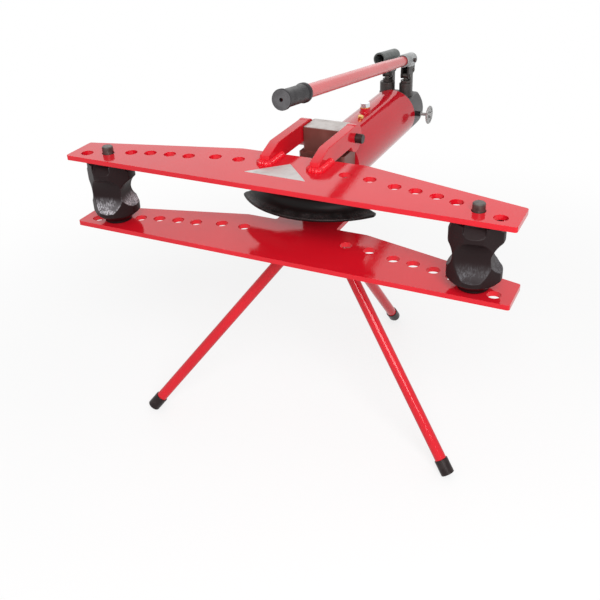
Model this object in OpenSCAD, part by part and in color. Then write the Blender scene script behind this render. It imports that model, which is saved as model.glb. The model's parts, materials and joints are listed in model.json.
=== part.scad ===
// Hydraulic pipe bender: two drilled wings, a ram with a bending former, a twin hand pump and a tripod.
// X runs along the wings, Y from the open front back to the pump, Z up from the floor.
// Inside the modules Y is measured from the front edge of the wings.

/* [Wings] */
// Length of both wings from end to end
wing_len = 1112; // [1000:1:1250]
// Width of a wing at the middle
wing_mid_w = 194; // [180:1:215]
// Width of a wing at its ends
wing_end_w = 96; // [85:1:115]
// Length of the full-width middle
wing_flat_len = 326; // [280:1:380]
// Thickness of the wing plates
plate_t = 12; // [10:0.5:15]
// Corner radius of the plates
wing_corner_r = 6; // [3:0.5:10]
// Clear height between the wings
wing_gap = 165; // [155:1:180]
// Height of the lower wing's top face above the floor
wing_height = 600; // [550:1:680]
// Diameter of the pin holes
pin_hole_d = 30.5; // [29.5:0.1:33]
// Width of the tongue behind the lower wing
tongue_w = 164; // [150:1:190]

/* [Supports] */
// Largest radius of a support casting
support_r = 59; // [55:0.5:63]
// Radius of the lower boss
support_boss_r = 34; // [28:0.5:38]
// Height of the lower boss
support_boss_h = 7; // [4:0.5:12]
// Height of the taper from the lower boss to the barrel
support_taper_h = 20; // [14:0.5:26]
// Radius of the upper boss
support_top_r = 38; // [32:0.5:46]
// Height of the upper boss above the corner columns
support_top_h = 5; // [3:0.5:12]
// Distance of the corner flats from the axis
support_corner_r = 53; // [50:0.5:58]
// Width of the pocket over each upper lip
support_pocket_w = 46; // [36:1:50]
// Diameter of the support pins
support_pin_d = 27; // [24:0.1:28]
// Length of pin above the upper wing
pin_stub = 18; // [12:0.5:24]
// Length of pin below the lower wing
pin_foot = 4; // [2:0.5:10]
// Chamfer of the pin ends
pin_chamfer = 2; // [1:0.5:6]
// Radius of the first groove
groove_a_r = 55; // [44:1:64]
// Depth of the first groove
groove_a_depth = 25; // [18:0.5:29]
// Radius of the second groove
groove_b_r = 38; // [32:1:60]
// Depth of the second groove
groove_b_depth = 24; // [15:0.5:26]
// Radius of the third groove
groove_c_r = 51; // [48:1:62]
// Depth of the third groove
groove_c_depth = 33; // [26:0.5:35]
// Radius of the fourth groove
groove_d_r = 40; // [34:1:60]
// Depth of the fourth groove
groove_d_depth = 14; // [6:0.5:18]
// Turn of the left support about its pin, in degrees
left_support_turn = 10; // [-180:1:180]
// Turn of the right support about its pin, in degrees
right_support_turn = 9; // [-180:1:180]

/* [Arms and hinge] */
// Thickness of a hinge arm
arm_t = 25; // [18:0.5:30]
// Clear width between the arms
arm_gap = 104; // [96:1:110]
// Distance of the arms from the front edge
arm_front = 118; // [105:1:135]
// Height of an arm's front face
arm_front_h = 20; // [14:0.5:26]
// Distance from the front face to the knee
arm_knee_run = 56; // [45:1:75]
// Height of the knee above the wing
arm_knee_h = 38.5; // [32:0.5:40]
// Radius of the hinge eye
arm_eye_r = 34; // [28:0.5:36]
// Height of the hinge axis above the upper wing's top face
hinge_rise = 7; // [4:0.5:12]
// Diameter of the hinge pin
hinge_pin_d = 23; // [20:0.1:28]
// Length of hinge pin outside each arm
hinge_pin_out = 18; // [8:0.5:24]

/* [Head block] */
// Distance of the head block from the front edge
block_front = 290; // [280:1:300]
// Depth of the head block
block_depth = 78; // [74:1:90]
// Width of the head block below its shoulder
block_w = 124; // [116:1:135]
// Setback of the neck behind the block's front face
neck_setback = 8.5; // [4:0.5:14]
// Height of the neck above the upper wing's top face
neck_rise = 33; // [26:0.5:40]
// Distance of the hinge axis behind the neck's front face
hinge_setback = 37.5; // [30:0.5:42]
// Corner chamfer of the block
block_chamfer = 6; // [2:0.5:10]
// Diameter of the block bolts
block_bolt_d = 16; // [12:0.5:18]

/* [Ram] */
// Diameter of the ram rod
ram_d = 50; // [44:0.5:52]
// Bore of the pressure cylinder
cyl_bore = 75; // [70:0.5:78]
// Outside diameter of the pressure cylinder
cyl_d = 92; // [88:0.5:96]
// Outside diameter of the guide bush
bush_d = 64; // [60:0.5:66]
// Length of the piston
piston_len = 40; // [32:1:50]
// Wire diameter of the return spring
spring_wire_d = 6; // [4:0.2:7]
// Mean diameter of the return spring
spring_mean_d = 62; // [61:0.2:64]
// Curls of the return spring
spring_turns = 14; // [8:1:16]

/* [Former] */
// Radius of the former's lips
former_r = 233; // [220:1:250]
// Distance of the former's nose from the front edge
former_front = 120; // [110:1:135]
// Depth of the curved front from nose to tips
former_depth = 95; // [85:1:105]
// Width of the former between its blunt tips
former_w = 356; // [340:1:368]
// Height of the former
former_h = 76; // [70:1:84]
// Radius of the pipe groove
former_groove_r = 30.5; // [26:0.5:33]
// Width of the former's rear boss
former_boss_w = 96; // [84:1:110]
// Length of the rear boss behind the tips
former_boss_len = 47; // [42:1:54]

/* [Tank] */
// Diameter of the oil tank
tank_d = 142; // [140:1:146]
// Length of the oil tank
tank_len = 420; // [390:1:450]
// Height of the tank's axis above the ram's
tank_lift = 14; // [0:0.5:15]
// Wall of the oil tank
tank_wall = 4; // [3:0.5:4.5]
// Distance of the filler behind the tank's front
filler_setback = 212; // [190:1:250]
// Diameter of the filler boss
filler_d = 28; // [24:0.5:32]
// Height of the filler boss above the tank
filler_h = 12; // [6:0.5:16]
// Width across the filler plug's flats
plug_af = 24; // [22:0.5:28]
// Height of the filler plug's head
plug_h = 11; // [8:0.5:18]

/* [Pump] */
// Diameter of the pump head
head_d = 140; // [132:1:144]
// Length of the pump head
head_len = 84; // [80:1:95]
// Height of the pump pad above the tank's axis
pad_rise = 46.5; // [44:0.5:48]
// Distance of each pump from the middle
pump_x = 28; // [26:0.5:32]
// Distance of the plungers behind the tank
pump_setback = 34; // [30:1:36]
// Diameter of the left pump body
left_pump_d = 44; // [40:0.5:44.5]
// Diameter of the right pump body
right_pump_d = 36; // [34:0.5:40]
// Height of a pump body
pump_h = 39; // [36:0.5:40]
// Diameter of the left plunger
left_plunger_d = 18; // [14:0.5:20]
// Diameter of the right plunger
right_plunger_d = 13; // [11:0.5:16]

/* [Levers] */
// Distance from plunger to fulcrum
lever_arm = 34; // [34:0.5:37]
// Height of the fulcrum above the pump pad
post_h = 69; // [68:0.5:78]
// Tilt of the levers at rest, in degrees
lever_tilt = 8.4; // [5:0.1:12]
// Outside diameter of the lever sockets
socket_d = 36; // [34:0.5:38]
// Height of the left socket's axis above the fulcrum
left_rise = 35.5; // [34:0.5:42]
// Height of the right socket's axis above the fulcrum
right_rise = 30; // [29:0.5:36]
// Length of the left socket in front of the fulcrum
left_reach = 108; // [90:1:130]
// Length of the right socket in front of the fulcrum
right_reach = 68; // [44:1:80]
// Length of the left socket behind the fulcrum
left_tail = 16; // [12:0.5:20]
// Length of the right socket behind the fulcrum
right_tail = 8; // [7:0.5:14]
// Diameter of the handle tube
handle_d = 32; // [30:0.1:34]
// Diameter of the handle's swaged tip
handle_tip_d = 26.9; // [25:0.1:28]
// Length of the taper behind the swaged tip
handle_taper = 160; // [60:1:220]
// Wall of the handle tube
handle_wall = 2.6; // [2:0.1:4]
// Length of the handle tube
handle_len = 820; // [700:1:830]
// Length of the handle grip
grip_len = 112; // [100:1:150]
// Diameter of the grip's body
grip_d = 40; // [37:0.5:43]
// Diameter of the grip's end disc
grip_end_d = 46; // [44:0.5:50]

/* [Release valve] */
// Diameter of the valve spindle
spindle_d = 13; // [10:0.5:15]
// Distance of the wheel's middle plane from the ram axis
wheel_out = 111; // [104:1:122]
// Diameter of the valve wheel
wheel_d = 52; // [46:1:58]
// Thickness of the valve wheel's rim
wheel_t = 6; // [4:0.5:9]
// Scallops round the valve wheel
wheel_scallops = 10; // [6:1:14]

/* [Tripod] */
// Distance of the tripod hub from the front edge
hub_y = 285; // [275:1:295]
// Horizontal reach of the left leg
left_leg_reach = 512; // [450:1:530]
// Horizontal reach of the right leg
right_leg_reach = 466; // [450:1:530]
// Horizontal reach of the rear leg
rear_leg_reach = 490; // [450:1:530]
// Diameter of the legs
leg_d = 30; // [26:0.5:34]
// Wall of the legs
leg_wall = 3; // [2:0.5:5]
// Direction of the left leg, in degrees from X
left_leg_turn = 209; // [200:1:220]
// Direction of the right leg, in degrees from X
right_leg_turn = 337; // [325:1:345]
// Direction of the rear leg, in degrees from X
rear_leg_turn = 86.5; // [80:0.5:100]
// Outside diameter of the leg sockets
leg_socket_d = 40; // [37:0.5:44]
// Length of the leg sockets from the hub's centre
leg_socket_len = 96; // [85:1:110]
// Diameter of the rubber caps
cap_d = 35; // [33:0.5:40]
// Length of the rubber caps
cap_len = 42; // [34:1:55]

/* [Hidden] */
$fn = 64;

// Colours
red_paint = [0.82, 0.07, 0.10];
cast_black = [0.13, 0.11, 0.11];
dark_brown = [0.24, 0.18, 0.16];
casting_grey = [0.37, 0.37, 0.37];
bright_steel = [0.75, 0.75, 0.76];
dark_steel = [0.33, 0.30, 0.29];
rubber_black = [0.19, 0.17, 0.17];
bronze = [0.70, 0.50, 0.25];

// Clearances and the one overrun of all cuts
fit_clear = 0.05;
seat_clear = 0.3;
slot_clear = 0.8;
overrun = 2;

// Heights
lower_top = wing_height;
lower_bottom = lower_top - plate_t;
upper_bottom = lower_top + wing_gap;
upper_top = upper_bottom + plate_t;
ram_z = lower_top + wing_gap / 2;
tank_z = ram_z + tank_lift;
hinge_z = upper_top + hinge_rise;
pad_z = tank_z + pad_rise;
fulcrum_z = pad_z + post_h;

// Distances from the front edge
neck_front = block_front + neck_setback;
hinge_y = neck_front + hinge_setback;
block_rear = block_front + block_depth;
tank_rear = block_rear + tank_len;
head_rear = tank_rear + head_len;
pump_y = tank_rear + pump_setback;
fulcrum_y = pump_y + lever_arm;
filler_y = block_rear + filler_setback;

// Pin holes: shares of the half length, and of the middle width
hole_x_shares = [0.248, 0.358, 0.475, 0.565, 0.656, 0.741, 0.836, 0.926];
hole_y_shares = [0.650, 0.624, 0.531, 0.500, 0.448, 0.379, 0.260, 0.166];
support_hole = 6;
support_x = hole_x_shares[support_hole] * wing_len / 2;
support_y = hole_y_shares[support_hole] * wing_mid_w;

// Wings
corner_steps = 6;
tongue_rear = block_rear + plate_t / 2;

// Head block
neck_w = arm_gap - 2 * seat_clear;
shoulder_clear = 2;
shoulder_top = hinge_z - arm_eye_r - shoulder_clear;
block_bolt_x = block_w / 2 - block_bolt_d;
block_bolt_inset = 16;
block_bolt_ys = [block_front + block_bolt_inset, block_rear - block_bolt_inset];
block_bolt_grip = 30;
block_bolt_head_d = 24;
block_bolt_key = 13;
cyl_seat_front = 18;
cyl_seat_rear = 8;
wiper_len = 8;
wiper_wall = 6;
wiper_d = ram_d + 2 * wiper_wall;

// Arms
arm_slope_run = 3;
arm_under_drop = 6;
arm_under_start = wing_mid_w + arm_under_drop;
eye_join_share = 0.97;

// Ram and piston
piston_gap = 8;
piston_rear = tank_rear - piston_gap;
piston_front = piston_rear - piston_len;
seal_w = 8;
seal_depth = 5;
ram_tail_d = 30;
ram_nose_d = 40;
ram_nose_len = 38;
former_rear = former_front + former_depth + former_boss_len;
former_pin_d = 10;
spring_front = block_rear - cyl_seat_front + seat_clear;
spring_rear = piston_front - seat_clear;
spring_rings = 8;
spring_sides = 6;

// Former
former_y = former_front + former_r;
former_rim = 44;
former_rib = 26;
former_pocket = 14;
former_back_step = 8;
former_back_h = former_h - 2 * former_back_step;
former_tip_back = 12;

// Tank
tank_front_wall = 8;
spigot_len = 15;
spigot_d = tank_d - 2 * tank_wall - 2 * fit_clear;
tank_seal_d = 4;
filler_depth = 10;
filler_bore_d = 16;
washer_t = 1.5;
plug_shank_len = 20;
plug_chamfer = 1.5;
bleed_setback = 156;
bleed_turn = 8;
bleed_d = 10;
bleed_head_d = 15;
bleed_head_h = 8;
bleed_depth = 9;

// Pump head and pumps
head_fillet = 9;
pad_lip = 5;
pump_flange_h = 10;
pump_flange_out = 1.5;
pump_tenon_d = 24;
pump_tenon_len = 12;
pump_floor = 4;
pump_chamfer = 2;
gland_h = 8;
gland_af = 26;
plug_row_z = tank_z - head_fillet;
valve_plug_d = 18;
valve_plug_len = 16;
valve_plug_af = 24;
valve_plug_h = 10;

// Levers
pin_drop_turn = 14;
lever_swing = 40;
fulcrum_pin_d = 10;
plunger_pin_d = 8;
post_t = 14;
post_w = 20;
post_tenon_d = 12;
post_tenon_len = 14;
eye_r = 8;
plunger_eye_t = post_t - 2 * seat_clear;
plunger_flat_drop = 4;
ear_t = 5;
ear_gap = post_t + 2 * seat_clear;
ear_r = 8;
lever_pin_out = 2;
lever_pin_len = ear_gap + 2 * (ear_t + lever_pin_out);
pin_edge = 1;
pin_drop = lever_arm * tan(pin_drop_turn);
plunger_pin_z = fulcrum_z - pin_drop;
slot_turn = pin_drop_turn + lever_tilt;
slot_near = lever_arm;
slot_far = lever_arm / cos(lever_swing - pin_drop_turn);
socket_bore_d = handle_tip_d + 2 * fit_clear;
mouth_wall = 2;
mouth_depth = 8;
handle_tip_out = 4;
socket_wall = 4;
screw_d = 10;
screw_head_d = 12;
screw_head_h = 6;
screw_back = 20;
handle_inset = socket_wall + seat_clear - right_tail;
handle_end = handle_inset + handle_len;
grip_wall_end = 8;
grip_hole_d = 8;
grip_disc_t = 7;
grip_collar_d = 45;
grip_collar_t = 9;
grip_neck = 6;

// Release valve
valve_setback = 12;
valve_y = tank_rear + valve_setback;
valve_rise = 4.5;
valve_z = tank_z + valve_rise;
spindle_depth = 24;
spindle_tip = 8;
spindle_stem_d = 8;
wheel_hub_d = 18;
wheel_hub_len = 16;
wheel_scallop_d = 9;
wheel_scallop_r = wheel_d / 2 + wheel_scallop_d / 4;
wheel_dish = 1.5;
wheel_rim_w = 6;

// Tripod
apex_z = lower_bottom;
hub_d = 70;
hub_h = 16;
leg_start = 42;
leg_lift = 16;
cap_flat = 3;
left_leg = [left_leg_turn, left_leg_reach];
right_leg = [right_leg_turn, right_leg_reach];
rear_leg = [rear_leg_turn, rear_leg_reach];
function leg_tilt(which) = atan(which[1] / apex_z);
function leg_run(which) = apex_z / cos(leg_tilt(which));
function leg_end(which) = leg_run(which) - leg_lift;
function cap_end(which) =
    leg_run(which) - (cap_d / 2 * sin(leg_tilt(which)) - cap_flat) / cos(leg_tilt(which));

// Origin: the floor under the middle of the whole machine
front_y = support_y - support_r;
rear_y = head_rear + valve_plug_h;
mid_y = (front_y + rear_y) / 2;

// Shared shapes

module in_frame() translate([0, -mid_y, 0]) children();

// Stands a flat (Y, Z) profile up and gives it a thickness along X
module along_x(thickness) rotate([90, 0, 90]) linear_extrude(thickness) children();

// Turns the Z axis of its child to run back along Y
module along_y() rotate([-90, 0, 0]) children();

// A round bar with chamfered ends
module bar(d, len, edge) {
    rotate_extrude() polygon([
        [0, 0], [d / 2 - edge, 0], [d / 2, edge],
        [d / 2, len - edge], [d / 2 - edge, len], [0, len]
    ]);
}

module ring(outer_d, inner_d, len) {
    difference() {
        cylinder(d = outer_d, h = len);
        translate([0, 0, -overrun]) cylinder(d = inner_d, h = len + 2 * overrun);
    }
}

module hexagon(af, h) cylinder(d = af / cos(30), h = h, $fn = 6);

// A rectangle with cut corners, centred on X and starting at Y = 0
module cut_rectangle(w, depth, cut) {
    polygon([
        [-w / 2 + cut, 0], [w / 2 - cut, 0], [w / 2, cut], [w / 2, depth - cut],
        [w / 2 - cut, depth], [-w / 2 + cut, depth], [-w / 2, depth - cut], [-w / 2, cut]
    ]);
}

// The points of an outline with every corner rounded
function unit(v) = v / norm(v);
function corner_arc(before, at, after, r) =
    let (
        into = unit(before - at),
        out = unit(after - at),
        half = acos(into * out) / 2,
        reach = r / tan(half),
        centre = at + unit(into + out) * r / sin(half),
        start = at + into * reach - centre,
        end = at + out * reach - centre,
        turn = 180 - 2 * half,
        way = start.x * end.y - start.y * end.x > 0 ? 1 : -1
    )
    [for (i = [0 : corner_steps])
        let (a = way * turn * i / corner_steps)
        centre + [start.x * cos(a) - start.y * sin(a), start.x * sin(a) + start.y * cos(a)]];
function rounded(points, r) = [
    for (i = [0 : len(points) - 1])
        each corner_arc(points[(i + len(points) - 1) % len(points)], points[i],
                        points[(i + 1) % len(points)], r)
];

// Wings

wing_right = [
    [wing_len / 2, 0], [wing_len / 2, wing_end_w], [wing_flat_len / 2, wing_mid_w]
];
tongue_right = [[tongue_w / 2, wing_mid_w], [tongue_w / 2, tongue_rear]];
function mirrored(points) = [for (i = [len(points) - 1 : -1 : 0]) [-points[i].x, points[i].y]];

module pin_holes() {
    for (side = [-1, 1], i = [0 : len(hole_x_shares) - 1])
        translate([side * hole_x_shares[i] * wing_len / 2, hole_y_shares[i] * wing_mid_w, -overrun])
            cylinder(d = pin_hole_d, h = plate_t + 2 * overrun);
}

module block_bolt_places() {
    for (side = [-1, 1], y = block_bolt_ys) translate([side * block_bolt_x, y, lower_bottom]) children();
}

module lower_wing() in_frame() color(red_paint) {
    outline = concat(wing_right, tongue_right);
    difference() {
        translate([0, 0, lower_bottom]) difference() {
            linear_extrude(plate_t) polygon(rounded(concat(outline, mirrored(outline)), wing_corner_r));
            pin_holes();
        }
        block_bolt_places()
            translate([0, 0, -overrun]) cylinder(d = block_bolt_d + 2 * fit_clear, h = plate_t + 2 * overrun);
    }
}

module upper_wing() in_frame() color(red_paint) {
    translate([0, 0, upper_bottom]) difference() {
        linear_extrude(plate_t) polygon(rounded(concat(wing_right, mirrored(wing_right)), wing_corner_r));
        pin_holes();
    }
}

// Hinge arms

module hinge_arm(x) {
    difference() {
        union() {
            translate([x, 0, 0]) along_x(arm_t) polygon([
                [arm_front, upper_top], [arm_front + arm_slope_run, upper_top + arm_front_h],
                [arm_front + arm_knee_run, upper_top + arm_knee_h],
                [hinge_y, hinge_z + arm_eye_r * eye_join_share], [hinge_y, hinge_z],
                [hinge_y - arm_eye_r / 2, upper_top - arm_under_drop],
                [arm_under_start, upper_top - arm_under_drop], [arm_under_start, upper_top]
            ]);
            translate([x, hinge_y, hinge_z]) rotate([0, 90, 0]) cylinder(r = arm_eye_r, h = arm_t);
        }
        translate([x - overrun, hinge_y, hinge_z]) rotate([0, 90, 0])
            cylinder(d = hinge_pin_d + 2 * fit_clear, h = arm_t + 2 * overrun);
    }
}

module left_arm() in_frame() color(red_paint) hinge_arm(-arm_gap / 2 - arm_t);
module right_arm() in_frame() color(red_paint) hinge_arm(arm_gap / 2);

module hinge_pin() in_frame() color(cast_black) {
    pin_len = arm_gap + 2 * (arm_t + hinge_pin_out);
    translate([-pin_len / 2, hinge_y, hinge_z]) rotate([0, 90, 0]) bar(hinge_pin_d, pin_len, pin_edge);
}

// Head block

module head_block() in_frame() color(dark_brown) {
    difference() {
        union() {
            translate([0, block_front, lower_top]) linear_extrude(shoulder_top - lower_top)
                cut_rectangle(block_w, block_depth, block_chamfer);
            translate([0, neck_front, lower_top]) linear_extrude(upper_top + neck_rise - lower_top)
                cut_rectangle(neck_w, block_depth - neck_setback, block_chamfer / 2);
        }
        translate([0, block_front - overrun, ram_z]) along_y() {
            cylinder(d = bush_d + 2 * fit_clear, h = block_depth + 2 * overrun);
        }
        translate([0, block_rear - cyl_seat_front, ram_z]) along_y()
            cylinder(d = cyl_d + 2 * fit_clear, h = cyl_seat_front + overrun);
        translate([-block_w / 2 - overrun, hinge_y, hinge_z]) rotate([0, 90, 0])
            cylinder(d = hinge_pin_d + 2 * fit_clear, h = block_w + 2 * overrun);
        block_bolt_places() cylinder(d = block_bolt_d + 2 * fit_clear, h = plate_t + block_bolt_grip + seat_clear);
    }
}

module block_bolts() in_frame() color(dark_steel) {
    block_bolt_places() {
        cylinder(d = block_bolt_d, h = plate_t + block_bolt_grip);
        translate([0, 0, -block_bolt_d]) difference() {
            cylinder(d = block_bolt_head_d, h = block_bolt_d);
            translate([0, 0, -overrun]) hexagon(block_bolt_key, block_bolt_d / 2 + overrun);
        }
    }
}

// Cylinder and ram

module pressure_cylinder() in_frame() color(bright_steel) {
    translate([0, block_rear - cyl_seat_front, ram_z]) along_y()
        ring(cyl_d, cyl_bore, cyl_seat_front + tank_len + cyl_seat_rear);
}

module ram_bush() in_frame() color(bronze) {
    translate([0, block_front, ram_z]) along_y() difference() {
        ring(bush_d, ram_d + 2 * fit_clear, block_depth - cyl_seat_front);
        translate([0, 0, -overrun]) cylinder(d = wiper_d + 2 * fit_clear, h = wiper_len + overrun);
    }
}

module rod_wiper() in_frame() color(rubber_black) {
    translate([0, block_front, ram_z]) along_y() ring(wiper_d, ram_d + 2 * fit_clear, wiper_len);
}

module ram_rod() in_frame() color(bright_steel) {
    difference() {
        translate([0, former_rear, ram_z]) along_y() {
            cylinder(d = ram_d, h = piston_front - former_rear);
            translate([0, 0, -ram_nose_len]) bar(ram_nose_d, ram_nose_len + pin_chamfer, pin_chamfer / 2);
            cylinder(d = ram_tail_d, h = piston_rear - former_rear);
        }
        translate([0, former_rear - ram_nose_len / 2, ram_z - former_h / 2])
            cylinder(d = former_pin_d + 2 * fit_clear, h = former_h);
    }
}

module piston() in_frame() color(bright_steel) {
    translate([0, piston_front, ram_z]) along_y() difference() {
        ring(cyl_bore - 2 * fit_clear, ram_tail_d + 2 * fit_clear, piston_len);
        translate([0, 0, (piston_len - seal_w) / 2])
            ring(cyl_bore + overrun, cyl_bore - 2 * seal_depth - 2 * fit_clear, seal_w + 2 * fit_clear);
    }
}

module piston_seal() in_frame() color(rubber_black) {
    translate([0, piston_front + (piston_len - seal_w) / 2 + fit_clear, ram_z]) along_y()
        ring(cyl_bore - 2 * fit_clear, cyl_bore - 2 * seal_depth, seal_w);
}

// Return spring: one helix round the rod, between the head block and the piston
spring_steps = spring_turns * spring_rings;
spring_rise = (spring_rear - spring_front - spring_wire_d) / spring_steps;
spring_line = [
    for (i = [0 : spring_steps])
        let (a = 360 * i / spring_rings)
        [spring_mean_d / 2 * cos(a), spring_mean_d / 2 * sin(a), spring_wire_d / 2 + spring_rise * i]
];
spring_gap = min([
    for (i = [0 : spring_steps - spring_rings]) norm(spring_line[i + spring_rings] - spring_line[i])
]) - spring_wire_d;
echo(spring_gap = spring_gap);

module return_spring() in_frame() color(dark_steel) {
    ring_points = [
        for (i = [0 : spring_steps], k = [0 : spring_sides - 1])
            let (
                a = 360 * i / spring_rings,
                b = 360 * k / spring_sides,
                r = spring_mean_d / 2 + spring_wire_d / 2 * cos(b)
            )
            [r * cos(a), r * sin(a), spring_line[i].z + spring_wire_d / 2 * sin(b)]
    ];
    side_faces = [
        for (i = [0 : spring_steps - 1], k = [0 : spring_sides - 1])
            let (
                n = i * spring_sides + k,
                m = i * spring_sides + (k + 1) % spring_sides
            )
            each [[n, n + spring_sides, m], [m, n + spring_sides, m + spring_sides]]
    ];
    last = spring_steps * spring_sides;
    end_faces = [
        for (k = [1 : spring_sides - 2])
            each [[0, k, k + 1], [last, last + k + 1, last + k]]
    ];
    translate([0, spring_front, ram_z]) along_y() polyhedron(ring_points, concat(side_faces, end_faces));
}

// Former

module former() in_frame() color(cast_black) {
    tips_y = former_front + former_depth;
    tip_x = sqrt(former_r * former_r - pow(former_r - former_depth, 2));
    difference() {
        union() {
            intersection() {
                translate([0, former_y, ram_z]) rotate_extrude() difference() {
                    translate([0, -former_h / 2]) square([former_r, former_h]);
                    translate([former_r, 0]) circle(r = former_groove_r);
                }
                translate([-former_w / 2, former_front - overrun, ram_z - former_h])
                    cube([former_w, former_depth + overrun, 2 * former_h]);
            }
            translate([0, 0, ram_z - former_back_h / 2]) linear_extrude(former_back_h) polygon([
                [-tip_x + former_rim, tips_y - former_tip_back], [tip_x - former_rim, tips_y - former_tip_back],
                [former_boss_w / 2, former_rear], [-former_boss_w / 2, former_rear]
            ]);
        }
        for (side = [-1, 1], up = [-1, 1])
            translate([0, 0, ram_z + up * former_h / 2]) intersection() {
                translate([0, former_y, -former_pocket])
                    cylinder(r = former_r - former_rim, h = 2 * former_pocket);
                translate([side * tip_x / 2, 0, -former_pocket])
                    translate([-tip_x / 2 + (side > 0 ? former_rib : 0), former_front, 0])
                        cube([tip_x - former_rib, former_depth - former_tip_back, 2 * former_pocket]);
            }
        translate([0, former_rear - ram_nose_len - seat_clear, ram_z]) along_y()
            cylinder(d = ram_nose_d + 2 * fit_clear, h = ram_nose_len + overrun);
        translate([0, former_rear - ram_nose_len / 2, ram_z - former_h])
            cylinder(d = former_pin_d + 2 * fit_clear, h = 2 * former_h);
    }
}

module former_pin() in_frame() color(dark_steel) {
    translate([0, former_rear - ram_nose_len / 2, ram_z - former_back_h / 2])
        bar(former_pin_d, former_back_h, pin_edge);
}

// Supports: a barrel with flat corners, and in each of its four faces a groove of another size

support_h = wing_gap - 2 * seat_clear;
support_lip_z = support_h - support_boss_h - support_taper_h;
groove_radii = [groove_a_r, groove_b_r, groove_c_r, groove_d_r];
groove_depths = [groove_a_depth, groove_b_depth, groove_c_depth, groove_d_depth];

module support_pocket() {
    outside = support_r + overrun;
    above = support_h + overrun;
    translate([-support_pocket_w / 2, 0, 0]) rotate([90, 0, 90]) linear_extrude(height = support_pocket_w)
        polygon([
            [-outside, support_lip_z], [-support_r, support_lip_z],
            [-support_top_r, support_h - support_boss_h], [-support_top_r, above], [-outside, above]
        ]);
}

module support_casting() {
    difference() {
        intersection() {
            rotate_extrude() polygon([
                [0, 0], [support_boss_r, 0], [support_boss_r, support_boss_h],
                [support_r, support_boss_h + support_taper_h], [support_r, support_h - support_top_h],
                [support_top_r, support_h - support_top_h], [support_top_r, support_h], [0, support_h]
            ]);
            rotate([0, 0, 45]) cube([2 * support_corner_r, 2 * support_corner_r, 3 * support_h], center = true);
        }
        for (i = [0 : 3])
            rotate([0, 0, 90 * i]) {
                translate([-support_r - overrun, -support_r + groove_depths[i] - groove_radii[i], support_h / 2])
                    rotate([0, 90, 0]) cylinder(r = groove_radii[i], h = 2 * (support_r + overrun), $fn = 128);
                support_pocket();
            }
        translate([0, 0, -overrun]) cylinder(d = support_pin_d + 2 * fit_clear, h = support_h + 2 * overrun);
    }
}

module support_pin() {
    pin_len = pin_foot + 2 * plate_t + wing_gap + pin_stub;
    translate([0, 0, lower_bottom - pin_foot]) bar(support_pin_d, pin_len, pin_chamfer);
}

module support_place(side, turn) {
    translate([side * support_x, support_y, 0]) rotate([0, 0, turn]) children();
}

module left_support() in_frame() color(cast_black) {
    support_place(-1, left_support_turn) translate([0, 0, lower_top + seat_clear]) support_casting();
}

module left_support_pin() in_frame() color(dark_steel) {
    support_place(-1, left_support_turn) support_pin();
}

module right_support() in_frame() color(cast_black) {
    support_place(1, right_support_turn) translate([0, 0, lower_top + seat_clear]) support_casting();
}

module right_support_pin() in_frame() color(dark_steel) {
    support_place(1, right_support_turn) support_pin();
}

// Tank

// The tank's axis, turned so that Z runs out through the bleed screw
module bleed_place() translate([0, block_rear + bleed_setback, tank_z]) rotate([0, bleed_turn, 0]) children();

module reservoir_tank() in_frame() color(red_paint) {
    difference() {
        translate([0, block_rear, tank_z]) along_y() difference() {
            cylinder(d = tank_d, h = tank_len, $fn = 128);
            translate([0, 0, tank_front_wall])
                cylinder(d = tank_d - 2 * tank_wall, h = tank_len, $fn = 128);
        }
        translate([0, block_rear - overrun, ram_z]) along_y()
            cylinder(d = cyl_d + 2 * seat_clear, h = tank_front_wall + 2 * overrun);
        translate([0, filler_y, tank_z]) cylinder(d = filler_d + 2 * fit_clear, h = tank_d);
        bleed_place() cylinder(d = bleed_d + 2 * fit_clear, h = tank_d);
    }
}

module tank_seal() in_frame() color(rubber_black) {
    translate([0, tank_rear - spigot_len / 2, tank_z]) along_y() rotate_extrude()
        translate([spigot_d / 2 - tank_seal_d / 2, 0]) circle(d = tank_seal_d, $fn = 24);
}

filler_top = tank_z + tank_d / 2 + filler_h;

module filler_boss() in_frame() color(red_paint) {
    translate([0, filler_y, filler_top - filler_h - filler_depth]) difference() {
        cylinder(d = filler_d, h = filler_h + filler_depth);
        translate([0, 0, -overrun])
            cylinder(d = filler_bore_d + 2 * fit_clear, h = filler_h + filler_depth + 2 * overrun);
    }
}

module filler_washer() in_frame() color(bronze) {
    translate([0, filler_y, filler_top]) ring(filler_d - 2 * washer_t, filler_bore_d + 2 * fit_clear, washer_t);
}

module filler_plug() in_frame() color(bright_steel) {
    translate([0, filler_y, filler_top + washer_t]) {
        intersection() {
            hexagon(plug_af, plug_h);
            bar(plug_af / cos(30), plug_h, plug_chamfer);
        }
        translate([0, 0, -plug_shank_len]) cylinder(d = filler_bore_d, h = plug_shank_len + plug_chamfer);
    }
}

module bleed_screw() in_frame() color(bronze) {
    bleed_place() translate([0, 0, tank_d / 2]) {
        translate([0, 0, -bleed_depth]) cylinder(d = bleed_d, h = bleed_depth + pin_edge);
        bar(bleed_head_d, bleed_head_h, pin_edge);
    }
}

// Pump head

module pump_places() {
    for (side = [-1, 1]) translate([side * pump_x, pump_y, pad_z]) children();
}

module post_places() {
    for (side = [-1, 1]) translate([side * pump_x, fulcrum_y, pad_z]) children();
}

module valve_plug_places() {
    for (side = [-1, 1]) translate([side * pump_x, head_rear, plug_row_z]) along_y() children();
}

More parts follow.
